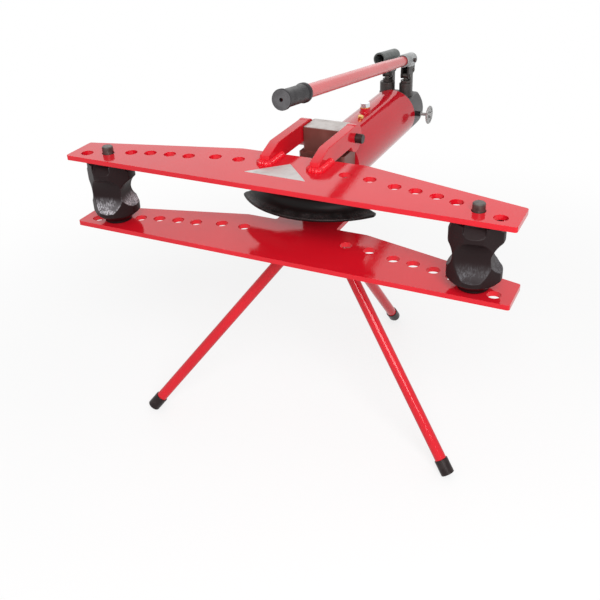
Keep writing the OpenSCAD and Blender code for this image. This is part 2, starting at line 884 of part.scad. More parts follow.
module pump_head() in_frame() color(casting_grey) {
    difference() {
        union() {
            translate([0, tank_rear, tank_z]) along_y() rotate_extrude($fn = 128) difference() {
                square([head_d / 2, head_len]);
                translate([head_d / 2 - head_fillet, head_len - head_fillet]) difference() {
                    square(head_fillet + overrun);
                    circle(r = head_fillet);
                }
            }
            translate([0, tank_rear - spigot_len, tank_z]) along_y() cylinder(d = spigot_d, h = 2 * spigot_len);
        }
        translate([-head_d / 2, tank_rear + pad_lip, pad_z]) cube([head_d, head_len, head_d]);
        translate([0, tank_rear - spigot_len - overrun, ram_z]) along_y()
            cylinder(d = cyl_d + 2 * fit_clear, h = spigot_len + overrun + cyl_seat_rear);
        translate([0, tank_rear - spigot_len / 2, tank_z]) along_y() rotate_extrude()
            translate([spigot_d / 2 - tank_seal_d / 2, 0]) {
                circle(d = tank_seal_d + 2 * fit_clear, $fn = 24);
                translate([0, -tank_seal_d / 2 - fit_clear]) square(tank_seal_d + 2 * fit_clear);
            }
        pump_places() translate([0, 0, -pump_tenon_len - seat_clear])
            cylinder(d = pump_tenon_d + 2 * fit_clear, h = pump_tenon_len + seat_clear + overrun);
        post_places() translate([0, 0, -post_tenon_len - seat_clear])
            cylinder(d = post_tenon_d + 2 * fit_clear, h = post_tenon_len + seat_clear + overrun);
        valve_plug_places() translate([0, 0, -valve_plug_len - seat_clear])
            cylinder(d = valve_plug_d + 2 * fit_clear, h = valve_plug_len + seat_clear + overrun);
        translate([head_d / 2 - spindle_depth - seat_clear, valve_y, valve_z]) rotate([0, 90, 0])
            cylinder(d = spindle_d + 2 * fit_clear, h = spindle_depth + head_d / 2);
    }
}

module valve_plugs() in_frame() color(dark_steel) {
    valve_plug_places() {
        translate([0, 0, -valve_plug_len]) cylinder(d = valve_plug_d, h = valve_plug_len + pin_edge);
        intersection() {
            hexagon(valve_plug_af, valve_plug_h);
            bar(valve_plug_af / cos(30), valve_plug_h, plug_chamfer);
        }
    }
}

// Pumps

module pump_body(d, bore_d) {
    difference() {
        union() {
            translate([0, 0, -pump_tenon_len]) cylinder(d = pump_tenon_d, h = pump_tenon_len + pump_flange_h);
            bar(d + 2 * pump_flange_out, pump_flange_h, pin_edge);
            bar(d, pump_h, pump_chamfer);
        }
        translate([0, 0, pump_floor]) cylinder(d = bore_d + 2 * fit_clear, h = pump_h);
    }
}

module gland_nut(bore_d) {
    translate([0, 0, pump_h]) difference() {
        hexagon(gland_af, gland_h);
        translate([0, 0, -overrun]) cylinder(d = bore_d + 2 * fit_clear, h = gland_h + 2 * overrun);
    }
}

module plunger(d) {
    rod_bottom = pad_z + pump_floor + seat_clear;
    flat_bottom = plunger_pin_z - ear_r - plunger_flat_drop;
    difference() {
        union() {
            difference() {
                translate([0, 0, rod_bottom]) cylinder(d = d, h = plunger_pin_z - eye_r / 2 - rod_bottom);
                for (side = [-1, 1])
                    translate([side * (plunger_eye_t + d) / 2, 0, flat_bottom + eye_r])
                        cube([d, 2 * d, 2 * eye_r], center = true);
            }
            translate([-plunger_eye_t / 2, 0, plunger_pin_z]) rotate([0, 90, 0])
                cylinder(r = eye_r, h = plunger_eye_t);
        }
        translate([-plunger_eye_t, 0, plunger_pin_z]) rotate([0, 90, 0])
            cylinder(d = plunger_pin_d + 2 * fit_clear, h = 2 * plunger_eye_t);
    }
}

module lever_pin(d) rotate([0, 90, 0]) translate([0, 0, -lever_pin_len / 2]) bar(d, lever_pin_len, pin_edge);

module fulcrum_post() {
    difference() {
        union() {
            translate([-post_t / 2, -post_w / 2, 0]) cube([post_t, post_w, post_h]);
            translate([-post_t / 2, 0, post_h]) rotate([0, 90, 0]) cylinder(d = post_w, h = post_t);
            translate([0, 0, -post_tenon_len]) cylinder(d = post_tenon_d, h = post_tenon_len + pin_edge);
        }
        translate([-post_t, 0, post_h]) rotate([0, 90, 0])
            cylinder(d = fulcrum_pin_d + 2 * fit_clear, h = 2 * post_t);
    }
}

module left_pump_body() in_frame() color(cast_black) {
    translate([-pump_x, pump_y, pad_z]) pump_body(left_pump_d, left_plunger_d);
}

module right_pump_body() in_frame() color(cast_black) {
    translate([pump_x, pump_y, pad_z]) pump_body(right_pump_d, right_plunger_d);
}

module left_gland_nut() in_frame() color(dark_steel) {
    translate([-pump_x, pump_y, pad_z]) gland_nut(left_plunger_d);
}

module right_gland_nut() in_frame() color(dark_steel) {
    translate([pump_x, pump_y, pad_z]) gland_nut(right_plunger_d);
}

module left_plunger() in_frame() color(bright_steel) {
    translate([-pump_x, pump_y, 0]) plunger(left_plunger_d);
}

module right_plunger() in_frame() color(bright_steel) {
    translate([pump_x, pump_y, 0]) plunger(right_plunger_d);
}

module left_plunger_pin() in_frame() color(dark_steel) {
    translate([-pump_x, pump_y, plunger_pin_z]) lever_pin(plunger_pin_d);
}

module right_plunger_pin() in_frame() color(dark_steel) {
    translate([pump_x, pump_y, plunger_pin_z]) lever_pin(plunger_pin_d);
}

module left_post() in_frame() color(cast_black) {
    translate([-pump_x, fulcrum_y, pad_z]) fulcrum_post();
}

module right_post() in_frame() color(cast_black) {
    translate([pump_x, fulcrum_y, pad_z]) fulcrum_post();
}

module left_fulcrum_pin() in_frame() color(dark_steel) {
    translate([-pump_x, fulcrum_y, fulcrum_z]) lever_pin(fulcrum_pin_d);
}

module right_fulcrum_pin() in_frame() color(dark_steel) {
    translate([pump_x, fulcrum_y, fulcrum_z]) lever_pin(fulcrum_pin_d);
}

// Levers: in their own frame the fulcrum is the origin and the handle points along -Y

module lever_frame(x) {
    translate([x, fulcrum_y, fulcrum_z]) rotate([-lever_tilt, 0, 0]) children();
}

module plunger_slot() {
    slot_d = plunger_pin_d + 2 * slot_clear;
    rotate(slot_turn) {
        translate([-slot_far, 0]) circle(d = slot_d);
        translate([-slot_near, 0]) circle(d = slot_d);
        translate([-slot_far, -slot_d / 2]) square([slot_far - slot_near, slot_d]);
    }
}

module ear_profile(rise) {
    tip_y = -slot_far * cos(slot_turn);
    tip_z = -slot_far * sin(slot_turn);
    difference() {
        union() {
            circle(r = ear_r);
            translate([tip_y, tip_z]) circle(r = ear_r);
            polygon([
                [ear_r, 0], [ear_r, rise], [tip_y - ear_r, rise], [tip_y - ear_r, tip_z],
                [tip_y, tip_z - ear_r], [0, -ear_r]
            ]);
        }
        circle(d = fulcrum_pin_d + 2 * fit_clear);
        plunger_slot();
    }
}

module lever_socket(rise, reach, tail) {
    difference() {
        union() {
            translate([0, -reach, rise]) along_y() bar(socket_d, reach + tail, pin_edge);
            for (side = [-1, 1])
                translate([side * (ear_gap + ear_t) / 2 - ear_t / 2, 0, 0]) along_x(ear_t) ear_profile(rise);
        }
        translate([0, -reach - overrun, rise]) along_y()
            cylinder(d = socket_bore_d, h = reach + overrun + tail - socket_wall);
    }
}

module left_socket() in_frame() color(casting_grey) {
    lever_frame(-pump_x) lever_socket(left_rise, left_reach, left_tail);
}

module right_socket() in_frame() color(bright_steel) {
    lever_frame(pump_x) difference() {
        lever_socket(right_rise, right_reach, right_tail);
        translate([0, -screw_back, right_rise]) rotate([0, 90, 0])
            cylinder(d = screw_d + 2 * fit_clear, h = socket_d);
        translate([0, -right_reach - overrun, right_rise]) along_y()
            cylinder(d = socket_d - 2 * mouth_wall, h = mouth_depth + overrun);
    }
}

module set_screw() in_frame() color(cast_black) {
    lever_frame(pump_x) translate([socket_bore_d / 2, -screw_back, right_rise]) rotate([0, 90, 0]) {
        cylinder(d = screw_d, h = socket_d / 2 - socket_bore_d / 2 + pin_edge);
        translate([0, 0, socket_d / 2 - socket_bore_d / 2]) bar(screw_head_d, screw_head_h, pin_edge);
    }
}

module handle_tube() in_frame() color(red_paint) {
    outer_r = handle_d / 2;
    tip_r = handle_tip_d / 2;
    taper_end = handle_end - right_reach - handle_tip_out;
    taper_start = taper_end - handle_taper;
    lever_frame(pump_x) translate([0, -handle_end, right_rise]) along_y() rotate_extrude() polygon([
        [outer_r - handle_wall, 0], [outer_r, 0], [outer_r, taper_start], [tip_r, taper_end], [tip_r, handle_len],
        [tip_r - handle_wall, handle_len], [tip_r - handle_wall, taper_end], [outer_r - handle_wall, taper_start]
    ]);
}

module handle_grip() in_frame() color(rubber_black) {
    inner_r = handle_d / 2 + fit_clear;
    end_r = grip_end_d / 2;
    collar_r = grip_collar_d / 2;
    collar_start = grip_len - grip_collar_t;
    lever_frame(pump_x) translate([0, -handle_end - grip_wall_end, right_rise]) along_y() rotate_extrude()
        polygon([
            [grip_hole_d / 2, 0], [end_r - pin_edge, 0], [end_r, pin_edge],
            [end_r, grip_disc_t], [grip_d / 2, grip_disc_t + grip_neck],
            [grip_d / 2, collar_start - grip_neck], [collar_r, collar_start],
            [collar_r, grip_len - pin_edge], [collar_r - pin_edge, grip_len], [inner_r, grip_len],
            [inner_r, grip_wall_end], [grip_hole_d / 2, grip_wall_end]
        ]);
}

// Release valve

module valve_spindle() in_frame() color(cast_black) {
    inner_x = head_d / 2 - spindle_depth;
    translate([inner_x, valve_y, valve_z]) rotate([0, 90, 0]) {
        cylinder(d1 = spindle_d / 2, d2 = spindle_d, h = spindle_tip);
        translate([0, 0, spindle_tip])
            cylinder(d = spindle_d, h = wheel_out - wheel_hub_len / 2 - inner_x - spindle_tip);
        cylinder(d = spindle_stem_d, h = wheel_out + wheel_hub_len / 2 - inner_x);
    }
}

module valve_wheel() in_frame() color(bright_steel) {
    translate([wheel_out, valve_y, valve_z]) rotate([0, 90, 0]) difference() {
        union() {
            translate([0, 0, -wheel_t / 2]) bar(wheel_d, wheel_t, wheel_dish);
            translate([0, 0, -wheel_hub_len / 2]) bar(wheel_hub_d, wheel_hub_len, pin_edge);
        }
        for (face = [-1, 1])
            translate([0, 0, face * wheel_t / 2 - wheel_dish])
                ring(wheel_d - 2 * wheel_rim_w, wheel_hub_d, 2 * wheel_dish);
        for (i = [0 : wheel_scallops - 1])
            rotate([0, 0, 360 * i / wheel_scallops]) translate([wheel_scallop_r, 0, -wheel_t])
                cylinder(d = wheel_scallop_d, h = 2 * wheel_t);
        translate([0, 0, -wheel_hub_len]) cylinder(d = spindle_stem_d + 2 * fit_clear, h = 2 * wheel_hub_len);
    }
}

// Tripod

// Puts Z down along a leg, starting at the hub's centre
module along_leg(which) {
    translate([0, hub_y, apex_z]) rotate([0, 180 - leg_tilt(which), which[0]]) children();
}

module tripod_hub() in_frame() color(red_paint) {
    legs = [left_leg, right_leg, rear_leg];
    difference() {
        union() {
            translate([0, hub_y, apex_z - hub_h]) cylinder(d = hub_d, h = hub_h);
            for (which = legs) along_leg(which) cylinder(d = leg_socket_d, h = leg_socket_len);
        }
        translate([-hub_d, hub_y - hub_d, apex_z]) cube([2 * hub_d, 2 * hub_d, hub_d]);
        for (which = legs)
            along_leg(which) translate([0, 0, leg_start - seat_clear])
                cylinder(d = leg_d + 2 * fit_clear, h = leg_socket_len);
    }
}

module leg(which) {
    along_leg(which) translate([0, 0, leg_start])
        ring(leg_d, leg_d - 2 * leg_wall, leg_end(which) - leg_start);
}

module cap(which) {
    cap_start = cap_end(which) - cap_len;
    difference() {
        along_leg(which) difference() {
            translate([0, 0, cap_start]) bar(cap_d, cap_len, pin_edge);
            translate([0, 0, cap_start - overrun])
                cylinder(d = leg_d + 2 * fit_clear, h = leg_end(which) + fit_clear - cap_start + overrun);
        }
        translate([-wing_len, hub_y - wing_len, -cap_len]) cube([2 * wing_len, 2 * wing_len, cap_len]);
    }
}

module leg_left() in_frame() color(red_paint) leg(left_leg);
module leg_right() in_frame() color(red_paint) leg(right_leg);
module leg_rear() in_frame() color(red_paint) leg(rear_leg);
module cap_left() in_frame() color(rubber_black) cap(left_leg);
module cap_right() in_frame() color(rubber_black) cap(right_leg);
module cap_rear() in_frame() color(rubber_black) cap(rear_leg);

lower_wing();
head_block();
block_bolts();
hinge_pin();
tripod_hub();
leg_left();
leg_right();
leg_rear();
cap_left();
cap_right();
cap_rear();
pressure_cylinder();
ram_bush();
rod_wiper();
reservoir_tank();
tank_seal();
filler_boss();
filler_washer();
filler_plug();
bleed_screw();
pump_head();
valve_plugs();
left_pump_body();
right_pump_body();
left_gland_nut();
right_gland_nut();
left_post();
right_post();
left_fulcrum_pin();
right_fulcrum_pin();
upper_wing();
left_arm();
right_arm();
ram_rod();
piston();
piston_seal();
return_spring();
former();
former_pin();
left_support();
left_support_pin();
right_support();
right_support_pin();
left_plunger();
right_plunger();
left_plunger_pin();
right_plunger_pin();
left_socket();
right_socket();
set_screw();
handle_tube();
handle_grip();
valve_spindle();
valve_wheel();
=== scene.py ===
# A tripod hydraulic pipe bender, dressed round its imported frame.
# Lengths are metres: X along the wings, Y from their open front back to the pump, Z up.
import json
import math

import bmesh
import bpy
from mathutils import Matrix, Vector

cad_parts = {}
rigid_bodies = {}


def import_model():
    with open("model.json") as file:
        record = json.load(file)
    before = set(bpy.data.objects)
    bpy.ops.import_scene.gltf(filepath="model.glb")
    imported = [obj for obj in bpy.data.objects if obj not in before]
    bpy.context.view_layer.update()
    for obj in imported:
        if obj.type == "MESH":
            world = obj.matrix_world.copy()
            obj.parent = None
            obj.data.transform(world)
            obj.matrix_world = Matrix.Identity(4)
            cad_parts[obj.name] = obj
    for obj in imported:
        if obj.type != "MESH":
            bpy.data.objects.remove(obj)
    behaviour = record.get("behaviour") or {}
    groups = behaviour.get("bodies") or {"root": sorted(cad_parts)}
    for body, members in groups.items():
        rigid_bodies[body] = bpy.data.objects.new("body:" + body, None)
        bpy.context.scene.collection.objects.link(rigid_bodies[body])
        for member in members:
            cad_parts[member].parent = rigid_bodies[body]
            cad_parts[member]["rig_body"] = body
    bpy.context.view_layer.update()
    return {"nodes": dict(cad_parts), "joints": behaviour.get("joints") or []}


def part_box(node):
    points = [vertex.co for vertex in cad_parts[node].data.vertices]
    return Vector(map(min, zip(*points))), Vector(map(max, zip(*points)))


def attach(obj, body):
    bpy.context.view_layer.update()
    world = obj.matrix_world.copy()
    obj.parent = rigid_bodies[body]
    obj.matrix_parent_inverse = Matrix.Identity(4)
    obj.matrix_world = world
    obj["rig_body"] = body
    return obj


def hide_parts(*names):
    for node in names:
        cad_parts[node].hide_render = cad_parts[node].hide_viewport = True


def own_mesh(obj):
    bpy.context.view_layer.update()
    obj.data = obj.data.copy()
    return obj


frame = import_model()


# Lower wing: a flame-cut steel plate drilled with a row of pin holes on each side of its middle.
# Its edges are ground and the whole plate is sprayed gloss red.
# The head block is bolted to its tongue.
class Value:
    """A shader socket that takes part in sums."""

    def __init__(self, finish, socket):
        self.finish = finish
        self.socket = socket

    def math(self, operation, first, second):
        """A Math node on two values."""
        return self.finish.node("ShaderNodeMath", {"operation": operation}, {0: first, 1: second})

    def __add__(self, other):
        return self.math("ADD", self, other)

    def __radd__(self, other):
        return self.math("ADD", other, self)

    def __sub__(self, other):
        return self.math("SUBTRACT", self, other)

    def __rsub__(self, other):
        return self.math("SUBTRACT", other, self)

    def __mul__(self, other):
        return self.math("MULTIPLY", self, other)

    def __rmul__(self, other):
        return self.math("MULTIPLY", other, self)


class Finish:
    """A material whose colour, roughness and bump come from its nodes."""

    # A Mix node repeats its sockets' names for each kind of data, so those for colours go by number.
    MIX_FACTOR, MIX_FIRST, MIX_SECOND = 0, 6, 7
    MIX_RESULT = 2

    def __init__(self, name, shelf=bpy.data.materials, shader="Principled BSDF"):
        self.material = shelf.new(name)
        self.material.use_nodes = True
        self.tree = self.material.node_tree
        self.shader = self.tree.nodes[shader]

    def node(self, kind, settings, sockets, output=0):
        """Adds a node: first its settings, then the values or links of its sockets."""
        node = self.tree.nodes.new(kind)
        for key, setting in settings.items():
            setattr(node, key, setting)
        for key, value in sockets.items():
            self.feed(node.inputs[key], value)
        return Value(self, node.outputs[output])

    def feed(self, socket, value):
        """Links a value to a socket, or sets a number or a colour on it."""
        if isinstance(value, Value):
            self.tree.links.new(value.socket, socket)
        else:
            socket.default_value = value

    def set(self, values):
        """Feeds the sockets of the material's own shader."""
        for key, value in values.items():
            self.feed(self.shader.inputs[key], value)

    def place(self, stretch=(1, 1, 1)):
        """The point on the piece, each axis times its stretch."""
        coordinates = self.node("ShaderNodeTexCoord", {}, {}, "Object")
        return self.node("ShaderNodeMapping", {}, {"Vector": coordinates, "Scale": stretch})

    def axis(self, letter, vector):
        """One part of a vector."""
        return self.node("ShaderNodeSeparateXYZ", {}, {"Vector": vector}, letter)

    def noise(self, scale, detail=2, stretch=(1, 1, 1)):
        """Soft blotches, finer with a larger scale."""
        sockets = {"Vector": self.place(stretch), "Scale": scale, "Detail": detail}
        return self.node("ShaderNodeTexNoise", {}, sockets)

    def band(self, value, low, high):
        """0 below low, 1 above high."""
        sockets = {"Value": value, "From Min": low, "From Max": high}
        return self.node("ShaderNodeMapRange", {"interpolation_type": "SMOOTHSTEP"}, sockets)

    def mix(self, factor, first, second):
        """The first colour at 0, the second at 1."""
        sockets = {self.MIX_FACTOR: factor, self.MIX_FIRST: first, self.MIX_SECOND: second}
        return self.node("ShaderNodeMix", {"data_type": "RGBA"}, sockets, self.MIX_RESULT)

    def bump(self, height, distance, strength=1.0):
        """Raises the surface where the height is large."""
        sockets = {"Height": height, "Distance": distance, "Strength": strength}
        self.set({"Normal": self.node("ShaderNodeBump", {}, sockets)})


def paint(name, colour, shade, rough, shine):
    """Sprayed paint: slow drifts of tone, a faint orange peel and a hard clear surface."""
    finish = Finish(name)
    drift = finish.band(finish.noise(scale=5, detail=3), low=0.35, high=0.7)
    grime = finish.band(finish.noise(scale=70, detail=4), low=0.4, high=0.75)
    finish.set({"Base Color": finish.mix(drift, colour, shade), "Roughness": rough + 0.08 * grime})
    finish.set({"Specular IOR Level": shine})
    finish.bump(finish.noise(scale=420, detail=1), distance=0.00006)
    return finish.material


MERGE_GAP = 1e-5
FLAT_ANGLE = math.radians(0.4)
SHARP_ANGLE = math.radians(28)


def merged(node):
    """A copy of a node's mesh, and its shape with the loose triangles joined."""
    mesh = frame["nodes"][node].data.copy()
    shape = bmesh.new()
    shape.from_mesh(mesh)
    bmesh.ops.remove_doubles(shape, verts=shape.verts, dist=MERGE_GAP)
    return mesh, shape


def store(shape, mesh):
    """Writes a finished shape into its mesh."""
    shape.to_mesh(mesh)
    shape.free()


def settle(piece, finish):
    """Turns a piece and its modifiers into a plain mesh with one finish."""
    graph = bpy.context.evaluated_depsgraph_get()
    mesh = bpy.data.meshes.new_from_object(piece.evaluated_get(graph))
    piece.modifiers.clear()
    piece.data = mesh
    mesh.materials.clear()
    mesh.materials.append(finish)


def stand_in(piece, node, finish, modifiers):
    """Finishes a piece with modifiers, and shows it in place of a node, on that node's body."""
    bpy.context.scene.collection.objects.link(piece)
    for kind, settings in modifiers:
        modifier = piece.modifiers.new(kind.lower(), kind)
        for key, setting in settings.items():
            setattr(modifier, key, setting)
    settle(piece, finish)
    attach(piece, frame["nodes"][node]["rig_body"])
    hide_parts(node)


def eased(node, finish, edge):
    """A node's shape with its sharp edges eased by a width, shown in place of the node."""
    mesh, shape = merged(node)
    bmesh.ops.dissolve_limit(shape, angle_limit=FLAT_ANGLE, verts=shape.verts, edges=shape.edges)
    sharp = [e for e in shape.edges if len(e.link_faces) == 2 and e.calc_face_angle() > SHARP_ANGLE]
    bmesh.ops.bevel(shape, geom=sharp, offset=edge, offset_type="OFFSET", segments=2, profile=0.5,
                    affect="EDGES", clamp_overlap=True)
    for face in shape.faces:
        face.smooth = True
    store(shape, mesh)
    piece = bpy.data.objects.new(node + "_eased", mesh)
    stand_in(piece, node, finish, [("WEIGHTED_NORMAL", {"keep_sharp": True})])


red_paint = paint("gloss_red_paint", colour=(0.70, 0.009, 0.021, 1), shade=(0.64, 0.008, 0.019, 1),
                  rough=0.06, shine=0.3)
eased("lower_wing", red_paint, edge=0.0012)


# Supports: black iron castings with a groove for another pipe size in each of their four faces.
# They are sand cast, so every edge is soft, and the lower lips of the grooves are scuffed by pipes.
# The up-facing lips are also painted lighter, as a painted highlight of the light from above.
LIP_FADE = 0.008


def cast_iron(name, colour, worn_and_lit, rough, top):
    """Sand-cast iron: dark and grainy, lighter grey in fine streaks where a face looks up below a height,
    partly rubbed by pipes and partly a painted highlight.
    """
    finish = Finish(name)
    sand = finish.noise(scale=260, detail=3)
    normal = finish.node("ShaderNodeNewGeometry", {}, {}, "Normal")
    upward = finish.band(finish.axis("Z", normal), low=0.12, high=0.7)
    lit_lip = upward * (1 - finish.band(finish.axis("Z", finish.place()), top - LIP_FADE, top))
    patch = finish.band(finish.noise(scale=38, detail=3), low=0.34, high=0.58)
    streaks = finish.noise(scale=330, detail=3, stretch=(1, 1, 0.12))
    scuff = patch * finish.band(streaks, low=0.36, high=0.68)
    edge = finish.band(finish.node("ShaderNodeNewGeometry", {}, {}, "Pointiness"), low=0.525, high=0.57)
    # Wear and painted highlight together: up-facing lips and their edges take the lighter colour.
    rub_and_highlight = lit_lip * (0.16 + 0.75 * scuff) + edge * (0.12 + 0.5 * lit_lip)
    finish.set({"Base Color": finish.mix(rub_and_highlight, colour, worn_and_lit), "Roughness": rough - 0.10 * rub_and_highlight + 0.12 * sand})
    finish.set({"Specular IOR Level": 0.18})
    finish.bump(sand + 0.5 * finish.noise(scale=900, detail=2), distance=0.0004, strength=0.5)
    return finish.material


def cast_skin(node, finish, voxel):
    """A node's shape with the soft edges of a casting, shown in place of the node."""
    mesh, shape = merged(node)
    store(shape, mesh)
    piece = bpy.data.objects.new(node + "_skin", mesh)
    stand_in(piece, node, finish, [
        ("REMESH", {"mode": "VOXEL", "voxel_size": voxel, "use_smooth_shade": True}),
        ("SMOOTH", {"factor": 0.5, "iterations": 4}),
    ])


BLACK_SKIN = (0.012, 0.0046, 0.0052, 1)
# The left lips' near-white colour is mostly a painted highlight; the right ones' is a dim grey.
for side, worn_and_lit in (("left", (0.66, 0.64, 0.68, 1)), ("right", (0.115, 0.11, 0.12, 1))):
    iron = cast_iron(side + "_cast_iron", BLACK_SKIN, worn_and_lit, rough=0.42, top=0.69)
    cast_skin(side + "_support", iron, voxel=0.0012)


# Support pins: turned steel bars that drop through both wings and a support, left oily and dark.
# Their chamfered tops stand above the upper wing, so that a hand can pull them.
def turned(name, colour, bright, rough, metal, stretch):
    """Turned steel: fine rings across the axis, oil that darkens it in patches."""
    finish = Finish(name)
    rings = finish.noise(scale=1, detail=2, stretch=stretch)
    oil = finish.band(finish.noise(scale=90, detail=4), low=0.4, high=0.7)
    finish.set({"Base Color": finish.mix(oil, bright, colour)})
    finish.set({"Roughness": rough + 0.15 * rings, "Metallic": metal})
    finish.bump(rings, distance=0.00015, strength=0.5)
    return finish.material


def coat(finish, *nodes):
    """Gives nodes whose own shape is right their finish."""
    for node in nodes:
        data = frame["nodes"][node].data
        data.materials.clear()
        data.materials.append(finish)


pin_steel = turned("oiled_pin_steel", colour=(0.055, 0.045, 0.04, 1), bright=(0.10, 0.088, 0.08, 1),
                   rough=0.32, metal=0.6, stretch=(40, 40, 1600))
coat(pin_steel, "left_support_pin", "right_support_pin")


# Upper wing: the same steel plate without the tongue, on two flame-cut arms that carry it on the hinge pin.
# The arms are welded to its top, so that the wing lifts to let a pipe in.
eased("upper_wing", red_paint, edge=0.0012)
for side in ("left", "right"):
    eased(side + "_arm", red_paint, edge=0.0015)


# Arm welds: a thick fillet bead round the front and both sides of each arm's foot, painted with it.
# The bead is laid in short steps, which leave ripples along it.
def tree_of(name, inputs):
    """A node tree with a geometry in and out and named sizes."""
    tree = bpy.data.node_groups.new(name, "GeometryNodeTree")
    tree.interface.new_socket("Geometry", in_out="INPUT", socket_type="NodeSocketGeometry")
    for key, kind in inputs.items():
        tree.interface.new_socket(key, in_out="INPUT", socket_type="NodeSocket" + kind)
    tree.interface.new_socket("Geometry", in_out="OUTPUT", socket_type="NodeSocketGeometry")
    return tree, tree.nodes.new("NodeGroupInput").outputs


def step(tree, kind, sockets, output=0, **settings):
    """One node of a tree, with its settings and the links or values of its sockets."""
    node = tree.nodes.new(kind)
    for key, setting in settings.items():
        setattr(node, key, setting)
    for key, value in sockets.items():
        if isinstance(value, bpy.types.NodeSocket):
            tree.links.new(value, node.inputs[key])
        else:
            node.inputs[key].default_value = value
    return node.outputs[output]


def close_tree(tree, geometry, finish):
    """Ends a tree in smooth, realized geometry with the finish on it."""
    smooth = step(tree, "GeometryNodeSetShadeSmooth", {"Geometry": geometry})
    real = step(tree, "GeometryNodeRealizeInstances", {"Geometry": smooth})
    done = step(tree, "GeometryNodeSetMaterial", {"Geometry": real, "Material": finish})
    tree.links.new(done, tree.nodes.new("NodeGroupOutput").inputs[0])
    return tree


def grow(name, mesh, tree, finish, **sizes):
    """Runs a tree on a mesh and keeps its result as a plain piece."""
    piece = bpy.data.objects.new(name, mesh)
    bpy.context.scene.collection.objects.link(piece)
    modifier = piece.modifiers.new("shape", "NODES")
    modifier.node_group = tree
    values = {"Finish": finish, **sizes}
    for item in tree.interface.items_tree:
        if item.in_out == "INPUT" and item.name in values:
            modifier[item.identifier] = values[item.name]
    settle(piece, finish)
    return piece


BEAD_STEP = 0.0009
BEAD_SIDES = 14


def bead_tree():
    """A weld bead along a line of points, its radius rippled at a pitch."""
    inputs = {"Radius": "Float", "Ripple": "Float", "Pitch": "Float", "Finish": "Material"}
    tree, size = tree_of("weld_bead", inputs)
    line = step(tree, "GeometryNodeMeshToCurve", {"Mesh": size["Geometry"]})
    fine = step(tree, "GeometryNodeResampleCurve", {"Curve": line, "Length": BEAD_STEP}, mode="LENGTH")
    along = step(tree, "GeometryNodeSplineParameter", {}, "Length")
    turns = step(tree, "ShaderNodeMath", {0: along, 1: size["Pitch"]}, operation="DIVIDE")
    angle = step(tree, "ShaderNodeMath", {0: turns, 1: math.tau}, operation="MULTIPLY")
    wave = step(tree, "ShaderNodeMath", {0: angle}, operation="SINE")
    swell = step(tree, "ShaderNodeMath", {0: wave, 1: size["Ripple"], 2: 1.0}, operation="MULTIPLY_ADD")
    circle = {"Radius": size["Radius"], "Resolution": BEAD_SIDES}
    ring = step(tree, "GeometryNodeCurvePrimitiveCircle", circle)
    sweep = {"Curve": fine, "Profile Curve": ring, "Scale": swell, "Fill Caps": True}
    tube = step(tree, "GeometryNodeCurveToMesh", sweep)
    return close_tree(tree, tube, size["Finish"])


def path_mesh(name, points, closed=False):
    """A mesh of edges from point to point, for a tree to follow."""
    mesh = bpy.data.meshes.new(name)
    steps = len(points) - (0 if closed else 1)
    mesh.from_pydata(points, [(i, (i + 1) % len(points)) for i in range(steps)], [])
    return mesh


def bent(corners, radius, steps=6):
    """A line through corners, each rounded to a radius."""
    line = [Vector(corners[0])]
    for before, at, after in zip(corners, corners[1:], corners[2:]):
        at = Vector(at)
        start = at + (Vector(before) - at).normalized() * radius
        end = at + (Vector(after) - at).normalized() * radius
        for i in range(steps + 1):
            t = i / steps
            line.append((1 - t) ** 2 * start + 2 * t * (1 - t) * at + t * t * end)
    line.append(Vector(corners[-1]))
    return line


BEAD_R = 0.0088
BEAD_LIFT_SHARE = 0.25
BEAD_BEND_R = 0.006
weld_bead = bead_tree()
wing_low, wing_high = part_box("upper_wing")
for side in ("left", "right"):
    low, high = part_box(side + "_arm")
    z = wing_high.z + BEAD_R * BEAD_LIFT_SHARE
    back = wing_high.y - BEAD_R
    corners = [(low.x, back, z), (low.x, low.y, z), (high.x, low.y, z), (high.x, back, z)]
    line = path_mesh(side + "_weld_line", bent(corners, BEAD_BEND_R))
    weld = grow(side + "_arm_weld", line, weld_bead, red_paint, Radius=BEAD_R, Ripple=0.15, Pitch=0.0068)
    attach(weld, "upper_wing_unit")


# Wing marker: a plain triangle of silver film stuck on the upper wing between the arms and the front edge.
# It is thin and satin, a little dusty, and has rounded corners.
def slab(name, outline, low, high, finish):
    """A thin plate between two heights, its outline running anticlockwise seen from above."""
    count = len(outline)
    points = [(x, y, z) for z in (low, high) for x, y in outline]
    bottom, top = range(count), range(count, 2 * count)
    sides = [(i, (i + 1) % count, count + (i + 1) % count, count + i) for i in bottom]
    mesh = bpy.data.meshes.new(name)
    mesh.from_pydata(points, [], [tuple(reversed(bottom)), tuple(top)] + sides)
    mesh.materials.append(finish)
    piece = bpy.data.objects.new(name, mesh)
    bpy.context.scene.collection.objects.link(piece)
    return piece


def metal_film(name, colour, dusty, rough, stretch):
    """Thin satin metal: brushed one way, dulled by dust in patches."""
    finish = Finish(name)
    dust = finish.band(finish.noise(scale=45, detail=5), low=0.4, high=0.75)
    brush = finish.noise(scale=1, detail=2, stretch=stretch)
    finish.set({"Base Color": finish.mix(dust, colour, dusty)})
    finish.set({"Roughness": rough + 0.18 * dust, "Metallic": 0.35})
    finish.bump(brush, distance=0.00008, strength=0.4)
    return finish.material


def rounded_corners(points, radius):
    """A flat closed outline through points, each corner rounded to a radius."""
    ring = bent([points[-1] + (0,)] + [p + (0,) for p in points] + [points[0] + (0,)], radius)
    return [(p.x, p.y) for p in ring[1:-1]]


FILM_T = 0.0003
FILM_CORNER_R = 0.0025
